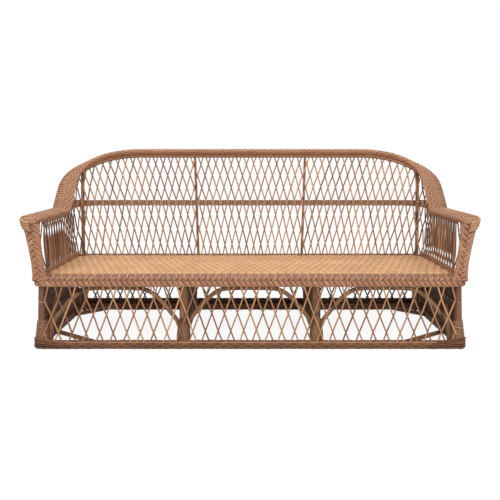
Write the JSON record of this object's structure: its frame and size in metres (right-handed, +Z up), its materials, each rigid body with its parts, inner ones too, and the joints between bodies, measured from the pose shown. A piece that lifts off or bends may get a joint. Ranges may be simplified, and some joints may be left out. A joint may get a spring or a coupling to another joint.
{
  "type": "rattan garden sofa",
  "caption": "Wide garden sofa of bent rattan poles with a flat woven rail over arms and back, open crossed lattice sides, a woven seat deck and a lattice skirt down to a woven floor border.",
  "frame": {"origin": "middle of the footprint, on the floor", "axes": "+X along the sofa, to the right for someone who looks at its front; +Y from the front edge of the seat to the back; +Z up"},
  "size_m": [2.0038, 0.7922, 0.8786],
  "materials": {
    "rattan_pole": "satin lacquer",
    "woven_core": "satin lacquer",
    "seat_core": "matte",
    "border_core": "matte"
  },
  "bodies": {
    "root": {"corner_pole_left": "rattan_pole", "corner_pole_right": "rattan_pole", "front_middle_leg_left": "rattan_pole", "front_middle_leg_right": "rattan_pole", "rear_corner_leg_left": "rattan_pole", "rear_corner_leg_right": "rattan_pole", "rear_middle_leg_left": "rattan_pole", "rear_middle_leg_right": "rattan_pole", "front_seat_rail": "rattan_pole", "rear_seat_rail": "rattan_pole", "side_seat_rail_left": "rattan_pole", "side_seat_rail_right": "rattan_pole", "seat_bearer_middle": "rattan_pole", "seat_bearer_left": "rattan_pole", "seat_bearer_right": "rattan_pole", "hoop_outer_pole": "rattan_pole", "hoop_inner_pole": "rattan_pole", "rear_corner_post_left": "rattan_pole", "rear_corner_post_right": "rattan_pole", "rear_middle_post_left": "rattan_pole", "rear_middle_post_right": "rattan_pole", "front_arch_left": "rattan_pole", "front_arch_right": "rattan_pole", "front_arch_middle": "rattan_pole", "side_arch_left": "rattan_pole", "side_arch_right": "rattan_pole", "front_corner_brace_left": "rattan_pole", "front_corner_brace_right": "rattan_pole", "rear_corner_brace_left": "rattan_pole", "rear_corner_brace_right": "rattan_pole", "hoop_cover": "woven_core", "arm_braid_left": "woven_core", "arm_braid_right": "woven_core", "seat_edge_braid": "woven_core", "middle_band_front": "woven_core", "middle_band_rear": "woven_core", "back_lattice": "woven_core", "corner_lattice_left": "woven_core", "corner_lattice_right": "woven_core", "arm_lattice_left": "woven_core", "arm_lattice_right": "woven_core", "front_skirt_lattice": "woven_core", "rear_skirt_lattice": "woven_core", "side_skirt_lattice_left": "woven_core", "side_skirt_lattice_right": "woven_core", "corner_leg_wrap_left": "woven_core", "corner_leg_wrap_right": "woven_core", "middle_leg_wrap_left": "woven_core", "middle_leg_wrap_right": "woven_core", "seat_deck": "seat_core", "front_border": "border_core", "rear_border": "border_core", "side_border_left": "border_core", "side_border_right": "border_core", "rear_corner_wrap_left": "border_core", "rear_corner_wrap_right": "border_core", "rear_middle_wrap_left": "border_core", "rear_middle_wrap_right": "border_core"}
  },
  "joints": []
}
